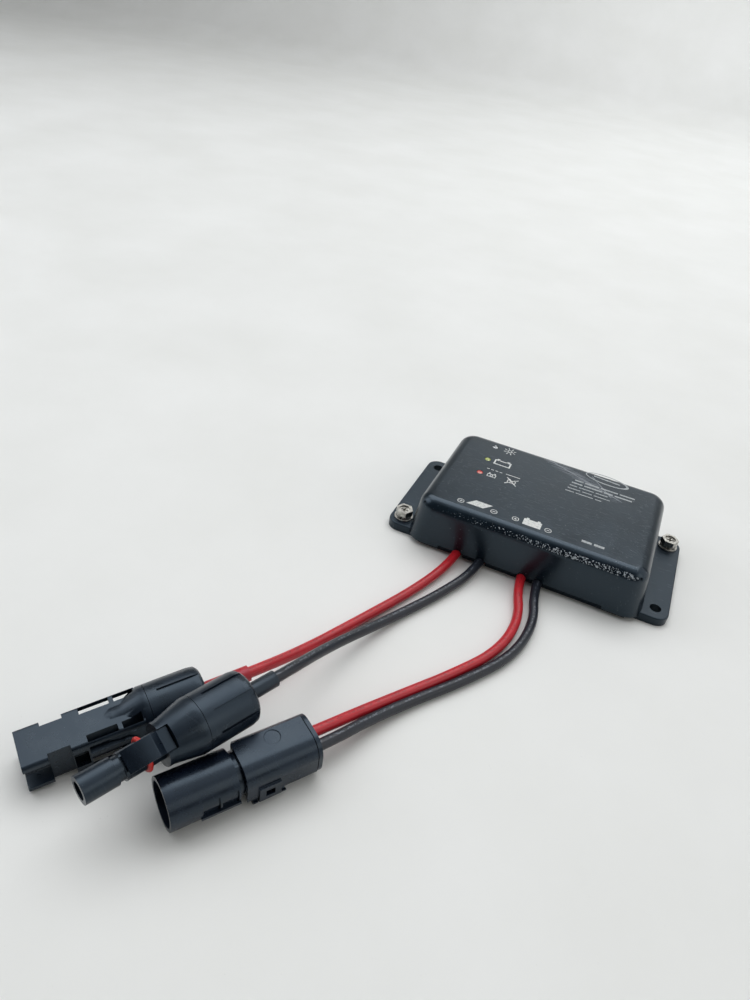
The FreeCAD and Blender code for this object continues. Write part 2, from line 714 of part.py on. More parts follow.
def battery_plug_lock():
    """The rear lock: a bent plate over the top and the near side, on a strap hinge."""
    name = "rear_lock"
    plate = block(name + "_shell", ("-plug_length + 1.6", "-23.4"), ("-5", "plug_half"),
                  ("hinge_z + ear_radius + 0.25", "plug_rise"))
    rounded = round_edges(name + "_rounded", plate, "plug_corner",
                          lambda edge: edge.BoundBox.XLength > 20 and edge.CenterOfMass.y > 0
                          and edge.CenterOfMass.z > 0)
    hollow = block(name + "_hollow", ("-plug_length", "-20"), ("-9", "plug_half - lock_thick"),
                   ("-9", "plug_rise - lock_thick"))
    corner = round_edges(name + "_hollow_rounded", hollow, "plug_corner - lock_thick",
                         lambda edge: edge.BoundBox.XLength > 20 and edge.CenterOfMass.y > 0
                         and edge.CenterOfMass.z > 0)
    shell = cut(name + "_open", rounded, corner)
    strap = block(name + "_strap", ("-34.6", "-27.2"), ("plug_half - lock_thick", "plug_half + 0.7"),
                  ("hinge_z", "0.4"))
    knuckle = rod(name + "_knuckle", "1.1", "-34.6", "-27.2", "X", y="hinge_y", z="hinge_z")
    pin = rod(name + "_hinge_pin", "hinge_pin", "-36.3", "-25.5", "X", y="hinge_y", z="hinge_z")
    window = block(name + "_window", ("-32.4", "-29.4"), ("6", "10"), ("-4", "-1.4"))
    ejector = rod(name + "_ejector_mark", "2.6", "plug_rise - 0.25", "plug_rise + 1", "Z", "-36", "-1.8")
    solid = fuse(name + "_solid", shell, strap, knuckle, pin)
    keep("battery_plug_lock", cut(name + "_whole", solid, window, ejector), BATTERY_PLUG)


def battery_pin(name, side):
    y = side + "way_pitch / 2"
    crimp = rod(name + "_crimp", "1.55", "-38", "-18", "X", y=y)
    blade = rod(name + "_blade", "1.15", "-19", "pin_tip - 1", "X", y=y)
    tip = rod(name + "_tip", ("1.15", "0.6"), "pin_tip - 1", "pin_tip", "X", y=y, kind="Part::Cone")
    keep(name, fuse(name + "_whole", crimp, blade, tip), BATTERY_PLUG)


def wire_seal(name, side):
    y = side + "way_pitch / 2"
    keep(name, tube(name + "_ring", "2.6", "lead_radius + 0.05", "-47.5", "-40", y=y), BATTERY_PLUG)


def battery_face_seal():
    keep("battery_face_seal", tube("face_seal_ring", "barrel_radius - barrel_wall", "barrel_radius - 2.6",
                                   "-17", "-14.8"), BATTERY_PLUG)


# ---- leads -----------------------------------------------------------------------------

def lead_path(points):
    """Straight runs joined by tangent arcs, each as large as its two runs allow."""
    edges = []
    radii = []
    start = points[0]
    for before, corner, after in zip(points, points[1:], points[2:]):
        inward = (before - corner).normalize()
        onward = (after - corner).normalize()
        half_turn = (math.pi - inward.getAngle(onward)) / 2
        reach = 0.45 * min((before - corner).Length, (after - corner).Length)
        radius = reach / math.tan(half_turn)
        first = corner + inward * reach
        last = corner + onward * reach
        toward = (inward + onward).normalize()
        centre_distance = math.hypot(radius, reach)
        middle = corner + toward * (centre_distance - radius)
        edges.append(Part.LineSegment(start, first).toShape())
        edges.append(Part.Arc(first, middle, last).toShape())
        radii.append(radius)
        start = last
    edges.append(Part.LineSegment(start, points[-1]).toShape())
    return edges, radii


def lead(name, points):
    """A round lead swept along its path, its volume checked against section times length."""
    radius = size("lead_radius")
    edges, radii = lead_path(points)
    wire = Part.Wire(edges)
    section = Part.Wire([Part.makeCircle(radius, points[0], points[1] - points[0])])
    solid = wire.makePipeShell([section], True, False)
    expected = math.pi * radius ** 2 * wire.Length
    if abs(solid.Volume / expected - 1) > 0.01:
        raise ValueError("%s has the wrong volume" % name)
    made = doc.addObject("Part::Feature", name)
    made.Shape = solid
    made.Placement = Placement()
    runs = [(b - a).Length for a, b in zip(points, points[1:])]
    print(name, "length %.1f" % wire.Length, "radii", ["%.0f" % value for value in radii],
          "runs", ["%.0f" % value for value in runs])
    keep(name, made)


def heat_sleeve(name, points, place, start_along):
    """The shrunk sleeve over the end of a lead: it follows the lead's last bend into the nut."""
    edges = lead_path(points)[0]
    spine = Part.Wire(edges[-2:])
    start = edges[-2].Vertexes[0].Point
    along = edges[-2].tangentAt(edges[-2].FirstParameter)
    outer, inner = [spine.makePipeShell([Part.Wire([Part.makeCircle(radius, start, along)])], True, False)
                    for radius in (size("sleeve_radius"), size("lead_radius") + 0.1)]
    kept = Part.makeBox(-10 - start_along, 16, 16, Vector(start_along, -8, -8))
    kept.Placement = place
    made = doc.addObject("Part::Feature", name)
    made.Shape = outer.cut(inner).common(kept)
    keep(name, made)


def route(exit_name, middle, ends):
    """A lead's route: out of the cover, through hand-set points, into its plug."""
    x = LEAD_EXITS[exit_name]
    high = size("exit_height")
    return ([Vector(x, size("lead_start"), high), Vector(x, -41.5, high)] +
            [Vector(*point) for point in middle] + list(ends))


def lead_routes():
    """Every lead's route, from inside the cover to its crimp."""
    half = size("way_pitch / 2")
    flat = size("lead_height")
    return {
        "solar_lead_red": route("solar_red", [
            (-36.0, -66.0, flat), (-48.5, -94.0, flat), (-60.6, -122.5, 3.4)],
            [on_plug(PIN_COUPLER, -31.5), on_plug(PIN_COUPLER, -3.5)]),
        "solar_lead_black": route("solar_black", [
            (-26.0, -63.5, flat), (-40.0, -90.5, flat), (-50.8, -121.0, 9.8)],
            [on_plug(SOCKET_COUPLER, -31.5), on_plug(SOCKET_COUPLER, -3.5)]),
        "battery_lead_red": route("battery_red", [
            (8.0, -61.0, flat), (5.0, -83.0, flat), (-7.3, -103.5, flat), (-20.5, -122.0, flat),
            (-30.4, -138.5, 4.2)],
            [on_plug(BATTERY_PLUG, -53.5, -half), on_plug(BATTERY_PLUG, -38.0, -half)]),
        "battery_lead_black": route("battery_black", [
            (14.0, -60.0, flat), (11.0, -82.0, flat), (-1.6, -103.0, flat), (-15.3, -121.5, flat),
            (-25.4, -138.5, 4.0)],
            [on_plug(BATTERY_PLUG, -53.5, half), on_plug(BATTERY_PLUG, -38.0, half)]),
    }


# ---- the whole -----------------------------------------------------------------------------

def build():
    flanged_base()
    top_cover()
    circuit_board()
    power_transistors()
    thermal_pad()
    filter_capacitor()
    power_inductor()
    control_chip()
    for step, name in enumerate(("fault_lamp", "battery_lamp", "supply_lamp")):
        status_lamp(name, step)
    potting_compound()
    at_corners("flat_washers", flat_washer)
    at_corners("spring_washers", spring_washer)
    at_corners("flange_screws", flange_screw)
    for name, place in (("pin_coupler", PIN_COUPLER), ("socket_coupler", SOCKET_COUPLER)):
        gland_nut(name + "_nut", place)
        clamp_cage(name + "_cage", place)
        cable_seal(name + "_seal", place)
    pin_coupler_housing()
    pin_contact()
    socket_coupler_housing()
    socket_contact()
    latch_arm("latch_arm_upper", 1)
    latch_arm("latch_arm_lower", -1)
    socket_coupler_o_ring()
    battery_plug_housing()
    battery_plug_lock()
    battery_face_seal()
    for colour, side in (("red", "-"), ("black", "")):
        battery_pin("battery_pin_" + colour, side)
        wire_seal("wire_seal_" + colour, side)
    routes = lead_routes()
    for name, points in routes.items():
        lead(name, points)
    heat_sleeve("pin_coupler_sleeve", routes["solar_lead_red"], PIN_COUPLER, -35)
    heat_sleeve("socket_coupler_sleeve", routes["solar_lead_black"], SOCKET_COUPLER, -30)
    doc.recompute()


def check():
    """Stop if any object of the document failed, or a sub-part is empty or broken."""
    for thing in doc.Objects:
        if "Invalid" in thing.State or "Error" in thing.State:
            raise ValueError("%s failed: %s" % (thing.Name, thing.State))
    for name, thing in nodes.items():
        if thing.Shape.isNull() or not thing.Shape.isValid() or not thing.Shape.Solids:
            raise ValueError(name + " has no valid solid")


def write():
    os.makedirs("parts", exist_ok=True)
    for name, thing in nodes.items():
        thing.Shape.exportStep("parts/%s.step" % name)
        box = thing.Shape.BoundBox
        print("%-24s solids %d volume %9.1f  z %.2f .. %.2f" % (
            name, len(thing.Shape.Solids), thing.Shape.Volume, box.ZMin, box.ZMax))


build()
check()
write()
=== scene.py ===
import json
import math

import bmesh
import bpy
from mathutils import Matrix, Vector


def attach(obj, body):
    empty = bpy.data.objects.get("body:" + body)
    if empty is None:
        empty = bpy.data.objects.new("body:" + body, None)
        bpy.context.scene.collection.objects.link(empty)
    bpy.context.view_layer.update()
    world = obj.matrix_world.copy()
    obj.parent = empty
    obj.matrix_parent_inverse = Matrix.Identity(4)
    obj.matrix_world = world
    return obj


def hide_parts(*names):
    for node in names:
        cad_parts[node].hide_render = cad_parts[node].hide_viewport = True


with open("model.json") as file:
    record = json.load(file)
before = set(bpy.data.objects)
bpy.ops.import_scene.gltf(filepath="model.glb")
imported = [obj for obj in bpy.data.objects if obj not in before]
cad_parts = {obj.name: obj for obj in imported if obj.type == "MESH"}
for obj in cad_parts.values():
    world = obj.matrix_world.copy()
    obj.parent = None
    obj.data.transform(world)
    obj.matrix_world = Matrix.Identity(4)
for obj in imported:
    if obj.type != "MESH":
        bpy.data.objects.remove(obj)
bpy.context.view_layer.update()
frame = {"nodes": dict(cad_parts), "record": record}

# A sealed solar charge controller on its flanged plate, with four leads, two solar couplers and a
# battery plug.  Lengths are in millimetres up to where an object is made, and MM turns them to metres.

MM = 0.001
METRE = 1000.0
COVER_TOP = 25.2
LEAD_RADIUS = 2.0
EDGE_BREAK = 0.18


# ---------------------------------------------------------------- places of the plugs

def plug_place(x, y, z, heading, dip=0.0, roll=0.0):
    """A plug's own frame: X points at its mouth.  Millimetres and degrees in, metres out."""
    turn = (Matrix.Rotation(math.radians(heading), 4, "Z") @ Matrix.Rotation(math.radians(dip), 4, "Y")
            @ Matrix.Rotation(math.radians(roll), 4, "X"))
    return Matrix.Translation(Vector((x, y, z)) * MM) @ turn


PIN_COUPLER = plug_place(-88.5, -175.7, 9.4, -125.8, dip=4.0)
SOCKET_COUPLER = plug_place(-67.6, -179.9, 21.6, -113.6, roll=-30.0)
BATTERY_PLUG = plug_place(-65.9, -200.0, 8.5, -124.6)


# ---------------------------------------------------------------- materials: tools

def linear(code):
    """An sRGB hex colour as linear red, green and blue with alpha 1."""
    levels = [int(code[index:index + 2], 16) / 255 for index in (1, 3, 5)]
    return tuple(v / 12.92 if v <= 0.04045 else ((v + 0.055) / 1.055) ** 2.4 for v in levels) + (1.0,)


def add(tree, kind, inputs=(), **settings):
    """One node with its settings; an input is a value, or another node's output to link."""
    made = tree.nodes.new(kind)
    for name, value in settings.items():
        setattr(made, name, value)
    for socket, value in dict(inputs).items():
        if isinstance(value, bpy.types.NodeSocket):
            tree.links.new(value, made.inputs[socket])
        else:
            made.inputs[socket].default_value = value
    return made


def new_material(name):
    """An empty material: the material, its tree and its Object coordinates."""
    made = bpy.data.materials.new(name)
    made.use_nodes = True
    tree = made.node_tree
    tree.nodes.clear()
    return made, tree, add(tree, "ShaderNodeTexCoord").outputs["Object"]


def finished(made, inputs):
    """The material, ended in a Principled shader with these inputs."""
    shader = add(made.node_tree, "ShaderNodeBsdfPrincipled", inputs)
    add(made.node_tree, "ShaderNodeOutputMaterial", {"Surface": shader.outputs["BSDF"]})
    return made


# ---------------------------------------------------------------- materials: patterns
# lumps are a noise's size in millimetres, detail and roughness

def patches(tree, place, lumps, low, high, least=0.0, most=1.0):
    """Soft patches that go from least to most where the noise goes from low to high."""
    size, detail, roughness = lumps
    noise = add(tree, "ShaderNodeTexNoise", {"Vector": place, "Scale": METRE / size, "Detail": detail,
                                             "Roughness": roughness})
    return add(tree, "ShaderNodeMapRange", {"Value": noise.outputs["Fac"],
                                            "From Min": low, "From Max": high,
                                            "To Min": least, "To Max": most}).outputs["Result"]


def two_tone(tree, place, lumps, low, high, first, second):
    """A colour that drifts between two in soft patches."""
    drift = patches(tree, place, lumps, low, high)
    return add(tree, "ShaderNodeMix", {"Factor": drift, 6: linear(first), 7: linear(second)},
               data_type="RGBA").outputs[2]


def laid_over(tree, colour, marks, strength, code):
    """A colour with marks of another laid over it, at some strength."""
    amount = add(tree, "ShaderNodeMath", {0: marks, 1: strength}, operation="MULTIPLY").outputs[0]
    return add(tree, "ShaderNodeMix", {"Factor": amount, 6: colour, 7: linear(code)},
               data_type="RGBA").outputs[2]


def relief(tree, place, lumps, strength, depth):
    """An uneven surface, as a bump of a real depth."""
    size, detail, roughness = lumps
    noise = add(tree, "ShaderNodeTexNoise", {"Vector": place, "Scale": METRE / size, "Detail": detail,
                                             "Roughness": roughness})
    return add(tree, "ShaderNodeBump", {"Height": noise.outputs["Fac"], "Strength": strength,
                                        "Distance": depth * MM}).outputs["Normal"]


def streaks(tree, place, heading, width, length, cut):
    """Fine straight scratches along one heading in the XY plane."""
    depth_scale = 120.0
    turned = add(tree, "ShaderNodeMapping", {"Vector": place, "Rotation": (0.0, 0.0, math.radians(heading)),
                                             "Scale": (METRE / length, METRE / width, depth_scale)})
    noise = add(tree, "ShaderNodeTexNoise", {"Vector": turned.outputs[0], "Scale": 1.0, "Detail": 1.5})
    return add(tree, "ShaderNodeMapRange", {"Value": noise.outputs["Fac"], "From Min": cut,
                                            "From Max": cut + 0.05}).outputs["Result"]


def specks(tree, place, size, cut):
    """Scattered dust about size millimetres across, in loose clouds."""
    cells = add(tree, "ShaderNodeTexVoronoi", {"Vector": place, "Scale": METRE / (size * 4)})
    dots = add(tree, "ShaderNodeMapRange", {"Value": cells.outputs["Distance"], "From Min": 0.10,
                                            "From Max": 0.02})
    clouds = patches(tree, place, (size * 22, 2.0, 0.5), cut, cut + 0.08)
    return add(tree, "ShaderNodeMath", {0: dots.outputs["Result"], 1: clouds},
               operation="MULTIPLY").outputs[0]


def zone(tree, place, *edges, least=0.0):
    """1 inside a zone and least outside it: an edge is an axis, where it starts and where it is full."""
    parts = add(tree, "ShaderNodeSeparateXYZ", {"Vector": place})
    inside = 1.0
    for axis, start, full in edges:
        fade = add(tree, "ShaderNodeMapRange", {"Value": parts.outputs[axis], "From Min": start,
                                                "From Max": full, "To Min": least})
        inside = add(tree, "ShaderNodeMath", {0: inside, 1: fade.outputs["Result"]},
                     operation="MULTIPLY").outputs[0]
    return inside


def stripe(tree, place, middle, heading, half_width, half_length):
    """A soft straight mark on the top: each half size is where it ends and where it is full."""
    moved = add(tree, "ShaderNodeMapping", {"Vector": place,
                                            "Location": (-middle[0] * MM, -middle[1] * MM, 0.0)})
    turned = add(tree, "ShaderNodeMapping", {"Vector": moved.outputs[0],
                                             "Rotation": (0.0, 0.0, math.radians(heading))})
    sizes = add(tree, "ShaderNodeVectorMath", {0: turned.outputs[0]}, operation="ABSOLUTE").outputs[0]
    return zone(tree, sizes, ("Y", half_width[0] * MM, half_width[1] * MM),
                ("X", half_length[0] * MM, half_length[1] * MM))


# ---------------------------------------------------------------- materials: finishes

COLD_SHINE = linear("#d4ecff")    # black plastic and slate coat mirror the room with a blue cast


def moulded_polymer(name, face, deep, rough, grit, mark=0.0):
    """Injection-moulded plastic: an even dark face, a spark-eroded grit in the mould's finish,
    cloudy handling marks that change the gloss, and a few pale rubbed streaks and specks.
    The grit is drawn coarser than a mould's real one, so that it shows."""
    made, tree, place = new_material(name)
    cloud = (9.0, 4.0, 0.6)
    colour = two_tone(tree, place, cloud, 0.35, 0.7, deep, face)
    colour = laid_over(tree, colour, streaks(tree, place, 37.0, 0.35, 9.0, 0.66), mark, "#5d6873")
    colour = laid_over(tree, colour, specks(tree, place, 0.35, 0.55), 0.3, "#9aa0a4")
    return finished(made, {
        "Base Color": colour,
        "Roughness": patches(tree, place, cloud, 0.3, 0.75, rough - 0.07, rough + 0.10),
        "Normal": relief(tree, place, (grit, 2.0, 0.6), 0.5, 0.03),
        "IOR": 1.53,
        "Specular Tint": COLD_SHINE})


def cover_scuffs(tree, place, top):
    """A broad scuffed band across the far right of the top, with a long gouge along it, and a second
    gouge that leaves it towards the front."""
    middle, heading = (9.0, 24.5), 23.5
    band = stripe(tree, place, middle, heading, (4.2, 0.4), (27.0, 14.0))
    broken = add(tree, "ShaderNodeMath", {0: band, 1: streaks(tree, place, heading, 0.45, 12.0, 0.47)},
                 operation="MULTIPLY").outputs[0]
    marks = add(tree, "ShaderNodeMath", {0: broken, 1: 0.6}, operation="MULTIPLY").outputs[0]
    for gouge in (stripe(tree, place, middle, heading, (0.34, 0.12), (26.0, 22.0)),
                  stripe(tree, place, (21.0, 22.1), 49.6, (0.30, 0.10), (9.2, 8.0))):
        marks = add(tree, "ShaderNodeMath", {0: marks, 1: gouge}, operation="MAXIMUM").outputs[0]
    return add(tree, "ShaderNodeMath", {0: marks, 1: top}, operation="MULTIPLY").outputs[0]


def cover_scratches(tree, place, top):
    """Hairline scratches everywhere on the top, in two headings."""
    hairs = add(tree, "ShaderNodeMath", {0: streaks(tree, place, -52.0, 0.22, 6.0, 0.68),
                                         1: streaks(tree, place, 18.0, 0.20, 5.0, 0.69)},
                operation="MAXIMUM").outputs[0]
    return add(tree, "ShaderNodeMath", {0: hairs, 1: top}, operation="MULTIPLY").outputs[0]


def cover_chips(tree, place):
    """Chips along the roll of the front edge, which thicken from left to right."""
    roll = zone(tree, place, ("Y", -32.2 * MM, -34.0 * MM), ("Z", 19.6 * MM, 21.6 * MM),
                ("Z", 24.9 * MM, 23.6 * MM))
    thicker = zone(tree, place, ("X", -45.0 * MM, 18.0 * MM), least=0.80)
    edge = add(tree, "ShaderNodeMath", {0: roll, 1: thicker}, operation="MULTIPLY").outputs[0]
    coarse, fine = (add(tree, "ShaderNodeTexNoise", {"Vector": place, "Scale": METRE / size,
                                                     "Detail": detail, "Roughness": roughness}).outputs["Fac"]
                    for size, detail, roughness in ((1.5, 5.0, 0.72), (0.7, 3.0, 0.6)))
    ragged = add(tree, "ShaderNodeMath", {0: coarse, 1: fine}, operation="MAXIMUM").outputs[0]
    ragged = add(tree, "ShaderNodeMath", {0: ragged, 1: edge}, operation="MULTIPLY").outputs[0]
    return add(tree, "ShaderNodeMapRange", {"Value": ragged, "From Min": 0.565,
                                            "From Max": 0.590}).outputs["Result"]


def gloss_abs():
    """ABS, moulded in a polished tool: near-black with a blue cast and a wet shine, dulled by
    handling, with pale scuffs across the top and chips along the front edge."""
    made, tree, place = new_material("gloss_abs_cover")
    cloud = (16.0, 5.0, 0.62)
    top = zone(tree, place, ("Z", (COVER_TOP - 0.6) * MM, (COVER_TOP - 0.1) * MM))
    scuffs = cover_scuffs(tree, place, top)
    chips = cover_chips(tree, place)
    dust = add(tree, "ShaderNodeMath", {0: specks(tree, place, 0.46, 0.50),
                                        1: specks(tree, place, 0.27, 0.46)}, operation="MAXIMUM").outputs[0]
    colour = two_tone(tree, place, cloud, 0.35, 0.7, "#0b131b", "#142029")
    for marks, strength, code in ((scuffs, 0.62, "#a4a7ab"),
                                  (cover_scratches(tree, place, top), 0.30, "#9aa1a8"),
                                  (dust, 0.75, "#b9bebd"),
                                  (chips, 1.0, "#b9c0c4")):
        colour = laid_over(tree, colour, marks, strength, code)
    gloss = patches(tree, place, cloud, 0.3, 0.75, 0.15, 0.29)
    for marks, dulling in ((scuffs, 0.35), (chips, 0.3)):
        gloss = add(tree, "ShaderNodeMath", {0: marks, 1: dulling, 2: gloss},
                    operation="MULTIPLY_ADD").outputs[0]
    pitted = add(tree, "ShaderNodeBump", {"Height": chips, "Strength": 0.6, "Distance": -0.12 * MM,
                                          "Normal": relief(tree, place, (2.6, 2.0, 0.5), 0.10, 0.05)})
    return finished(made, {"Base Color": colour, "Roughness": gloss, "Normal": pitted.outputs["Normal"],
                           "IOR": 1.54, "Specular Tint": COLD_SHINE})


def coated_aluminium():
    """Pressed aluminium plate in a satin slate coat: an orange-peel surface, with rubbed streaks."""
    made, tree, place = new_material("coated_aluminium_plate")
    cloud = (14.0, 4.0, 0.6)
    colour = two_tone(tree, place, cloud, 0.3, 0.75, "#131c24", "#1d2831")
    colour = laid_over(tree, colour, streaks(tree, place, 70.0, 0.25, 8.0, 0.68), 0.35, "#7d848a")
    colour = laid_over(tree, colour, specks(tree, place, 0.4, 0.52), 0.5, "#9ca2a5")
    return finished(made, {"Base Color": colour,
                           "Roughness": patches(tree, place, cloud, 0.3, 0.75, 0.34, 0.46),
                           "Normal": relief(tree, place, (0.7, 2.0, 0.5), 0.25, 0.04),
                           "IOR": 1.5,
                           "Specular Tint": COLD_SHINE})


def plated_metal(name, light, dark, rough, brush):
    """Zinc or tin plating: a bright skin with fine turning marks and grey tarnish in patches."""
    made, tree, place = new_material(name)
    tarnish = (2.2, 5.0, 0.65)
    line_scale = 260.0
    lines = add(tree, "ShaderNodeMapping", {"Vector": place,
                                            "Scale": (METRE / brush, METRE / brush, line_scale)})
    turned = add(tree, "ShaderNodeTexNoise", {"Vector": lines.outputs[0], "Scale": 1.0, "Detail": 2.0})
    ridges = add(tree, "ShaderNodeBump", {"Height": turned.outputs["Fac"], "Strength": 0.2,
                                          "Distance": 0.02 * MM})
    return finished(made, {"Base Color": two_tone(tree, place, tarnish, 0.42, 0.68, light, dark),
                           "Roughness": patches(tree, place, tarnish, 0.3, 0.8, rough, rough + 0.18),
                           "Normal": ridges.outputs["Normal"],
                           "Metallic": 1.0})


def silicone(name, face, deep, rough=0.45):
    """Silicone rubber: soft and dull, with a fine powdery bloom."""
    made, tree, place = new_material(name)
    bloom = (1.6, 4.0, 0.6)
    return finished(made, {"Base Color": two_tone(tree, place, bloom, 0.35, 0.7, deep, face),
                           "Roughness": patches(tree, place, bloom, 0.3, 0.7, rough - 0.08, rough + 0.08),
                           "Normal": relief(tree, place, (0.3, 2.0, 0.5), 0.2, 0.02),
                           "IOR": 1.41})


def lead_jacket(name, face, deep, print_code, rough):
    """Extruded lead jacket: a slightly uneven skin, a soft shine and smudged, broken print marks."""
    made, tree, place = new_material(name)
    along = add(tree, "ShaderNodeTexCoord").outputs["UV"]
    cloud = (7.0, 3.0, 0.55)
    # short dashes in a line along one side of the jacket
    marks = add(tree, "ShaderNodeMapping", {"Vector": along, "Scale": (70.0, 9.0, 1.0)})
    noise = add(tree, "ShaderNodeTexNoise", {"Vector": marks.outputs[0], "Scale": 1.6, "Detail": 1.0})
    dashes = add(tree, "ShaderNodeMapRange", {"Value": noise.outputs["Fac"], "From Min": 0.52,
                                              "From Max": 0.56})
    line = zone(tree, along, ("Y", 0.14, 0.17), ("Y", 0.24, 0.21))
    printed = add(tree, "ShaderNodeMath", {0: dashes.outputs["Result"], 1: line},
                  operation="MULTIPLY").outputs[0]
    colour = two_tone(tree, place, cloud, 0.3, 0.75, deep, face)
    colour = laid_over(tree, colour, printed, 0.55, print_code)
    colour = laid_over(tree, colour, specks(tree, place, 0.3, 0.50), 0.4, "#a3a7a8")
    return finished(made, {"Base Color": colour,
                           "Roughness": patches(tree, place, cloud, 0.3, 0.75, rough - 0.06, rough + 0.08),
                           "Normal": relief(tree, place, (0.8, 2.0, 0.5), 0.18, 0.05),
                           "IOR": 1.5})


def lamp_epoxy(name, face, core):
    """Clear tinted epoxy of a status lamp: glossy, and paler in spots where its reflector shows."""
    made, tree, place = new_material(name)
    cells = add(tree, "ShaderNodeTexVoronoi", {"Vector": place, "Scale": METRE / 1.1}).outputs["Distance"]
    away = add(tree, "ShaderNodeMapRange", {"Value": cells, "From Min": 0.15, "From Max": 0.6})
    dulled = add(tree, "ShaderNodeMapRange", {"Value": cells, "From Min": 0.1, "From Max": 0.7,
                                              "To Min": 0.08, "To Max": 0.22})
    colour = add(tree, "ShaderNodeMix", {"Factor": away.outputs["Result"],
                                         6: linear(core), 7: linear(face)}, data_type="RGBA")
    return finished(made, {"Base Color": colour.outputs[2], "Roughness": dulled.outputs["Result"],
                           "IOR": 1.54, "Coat Weight": 0.6})


def white_ink(name, fresh, rubbed):
    """Pad-printed white ink: thin, a little grey, and worn through in spots."""
    made, tree, place = new_material(name)
    worn = (1.1, 5.0, 0.7)
    return finished(made, {"Base Color": two_tone(tree, place, worn, 0.50, 0.72, fresh, rubbed),
                           "Roughness": patches(tree, place, worn, 0.3, 0.7, 0.42, 0.6)})


def solder_mask():
    """Green solder mask on glass laminate, with the copper's tracks showing through it."""
    made, tree, place = new_material("solder_mask_board")
    tracks = add(tree, "ShaderNodeTexBrick", {"Vector": place, "Scale": METRE / 9.0, "Mortar Size": 0.06,
                                              "Color1": linear("#0d3f22"), "Color2": linear("#0b381e"),
                                              "Mortar": linear("#1c6a3c")})
    return finished(made, {"Base Color": tracks.outputs["Color"],
                           "Roughness": patches(tree, place, (3.0, 2.0, 0.5), 0.3, 0.7, 0.25, 0.4)})


def studio_floor():
    """A matt white table board with a barely seen mottle."""
    made, tree, place = new_material("white_table")
    mottle = (90.0, 4.0, 0.55)
    colour = two_tone(tree, place, mottle, 0.3, 0.75, "#e3e4e0", "#eaebe8")
    colour = laid_over(tree, colour, specks(tree, place, 0.5, 0.60), 0.35, "#9c9b97")
    return finished(made, {"Base Color": colour,
                           "Roughness": patches(tree, place, mottle, 0.3, 0.7, 0.5, 0.62)})


COUPLER_POLYMER = moulded_polymer("glass_filled_coupler_polymer", "#121b26", "#0b121b", 0.30, 0.32,
                                  mark=0.06)
PLUG_POLYMER = moulded_polymer("glass_filled_plug_polymer", "#111927", "#0b111b", 0.26, 0.32, mark=0.06)
FINISHES = {
    "cover_plastic": gloss_abs(),
    "base_coat": coated_aluminium(),
    "board_laminate": solder_mask(),
    "chip_epoxy": moulded_polymer("moulded_epoxy_case", "#1b1c1e", "#141517", 0.55, 0.35),
    "pad_silicone": silicone("grey_silicone_pad", "#8a8d92", "#74777c", 0.6),
    "capacitor_can": plated_metal("drawn_aluminium_can", "#c3c5c8", "#8f9296", 0.28, 0.3),
    "ferrite": moulded_polymer("sintered_ferrite", "#2c2b2a", "#1f1e1e", 0.6, 0.25),
    "lamp_red": lamp_epoxy("red_lamp_epoxy", "#c23a33", "#f0b7a6"),
    "lamp_green": lamp_epoxy("yellow_green_lamp_epoxy", "#8f9c2e", "#e6ecb0"),
    "potting_resin": moulded_polymer("cast_black_resin", "#1a1b1d", "#111214", 0.4, 1.5),
    "plated_steel": plated_metal("zinc_plated_steel", "#cfcdc6", "#7f7d78", 0.24, 0.25),
    "spring_steel": plated_metal("plated_spring_steel", "#a9a9a6", "#5e5e5c", 0.32, 0.2),
    "coupler_plastic": COUPLER_POLYMER,
    "seal_rubber": silicone("grey_silicone_seal", "#55585c", "#44474b"),
    "ring_rubber": silicone("red_silicone_ring", "#d0312b", "#b3241f", 0.4),
    "contact_metal": plated_metal("tinned_copper", "#d2cec2", "#9a968b", 0.22, 0.2),
    "sleeve_red": moulded_polymer("shrunk_red_polyolefin", "#b92029", "#9d1921", 0.38, 1.2),
    "sleeve_black": moulded_polymer("shrunk_black_polyolefin", "#1d2128", "#15181e", 0.38, 1.2),
    "plug_plastic": PLUG_POLYMER,
    "lead_red": lead_jacket("red_lead_jacket", "#c01f2b", "#a91823", "#6e1218", 0.36),
    "lead_black": lead_jacket("black_lead_jacket", "#1f252f", "#161a22", "#666d77", 0.34),
}
INK = white_ink("pad_print_ink", "#d2d4d0", "#8f9598")
RUBBED_INK = white_ink("rubbed_pad_print_ink", "#a4a9aa", "#4f5a5f")
CLEAR_LAMP = lamp_epoxy("water_clear_lamp_epoxy", "#50585c", "#f2f5f4")
SLOT_OF = {entry["node"]: entry["material_slot"] for entry in frame["record"]["subparts"]}
BODY_OF = {node: body for body, held in frame["record"]["behaviour"]["bodies"].items() for node in held}


# ---------------------------------------------------------------- shape tools

def place_piece(data, name, body, slot, material=None):
    """An object for a finished mesh or curve: given its finish, its slot and its body."""
    made = bpy.data.objects.new(name, data)
    bpy.context.scene.collection.objects.link(made)
    data.materials.clear()
    data.materials.append(material or FINISHES[slot])
    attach(made, body)
    return made


def mesh_from(shape, name):
    """A bmesh as a mesh: doubles merged, normals outward, smooth but for its sharp edges."""
    bmesh.ops.remove_doubles(shape, verts=shape.verts, dist=1e-6)
    bmesh.ops.recalc_face_normals(shape, faces=shape.faces)
    data = bpy.data.meshes.new(name)
    shape.to_mesh(data)
    shape.free()
    data.shade_smooth()
    data.set_sharp_from_angle(angle=math.radians(32.0))
    return data


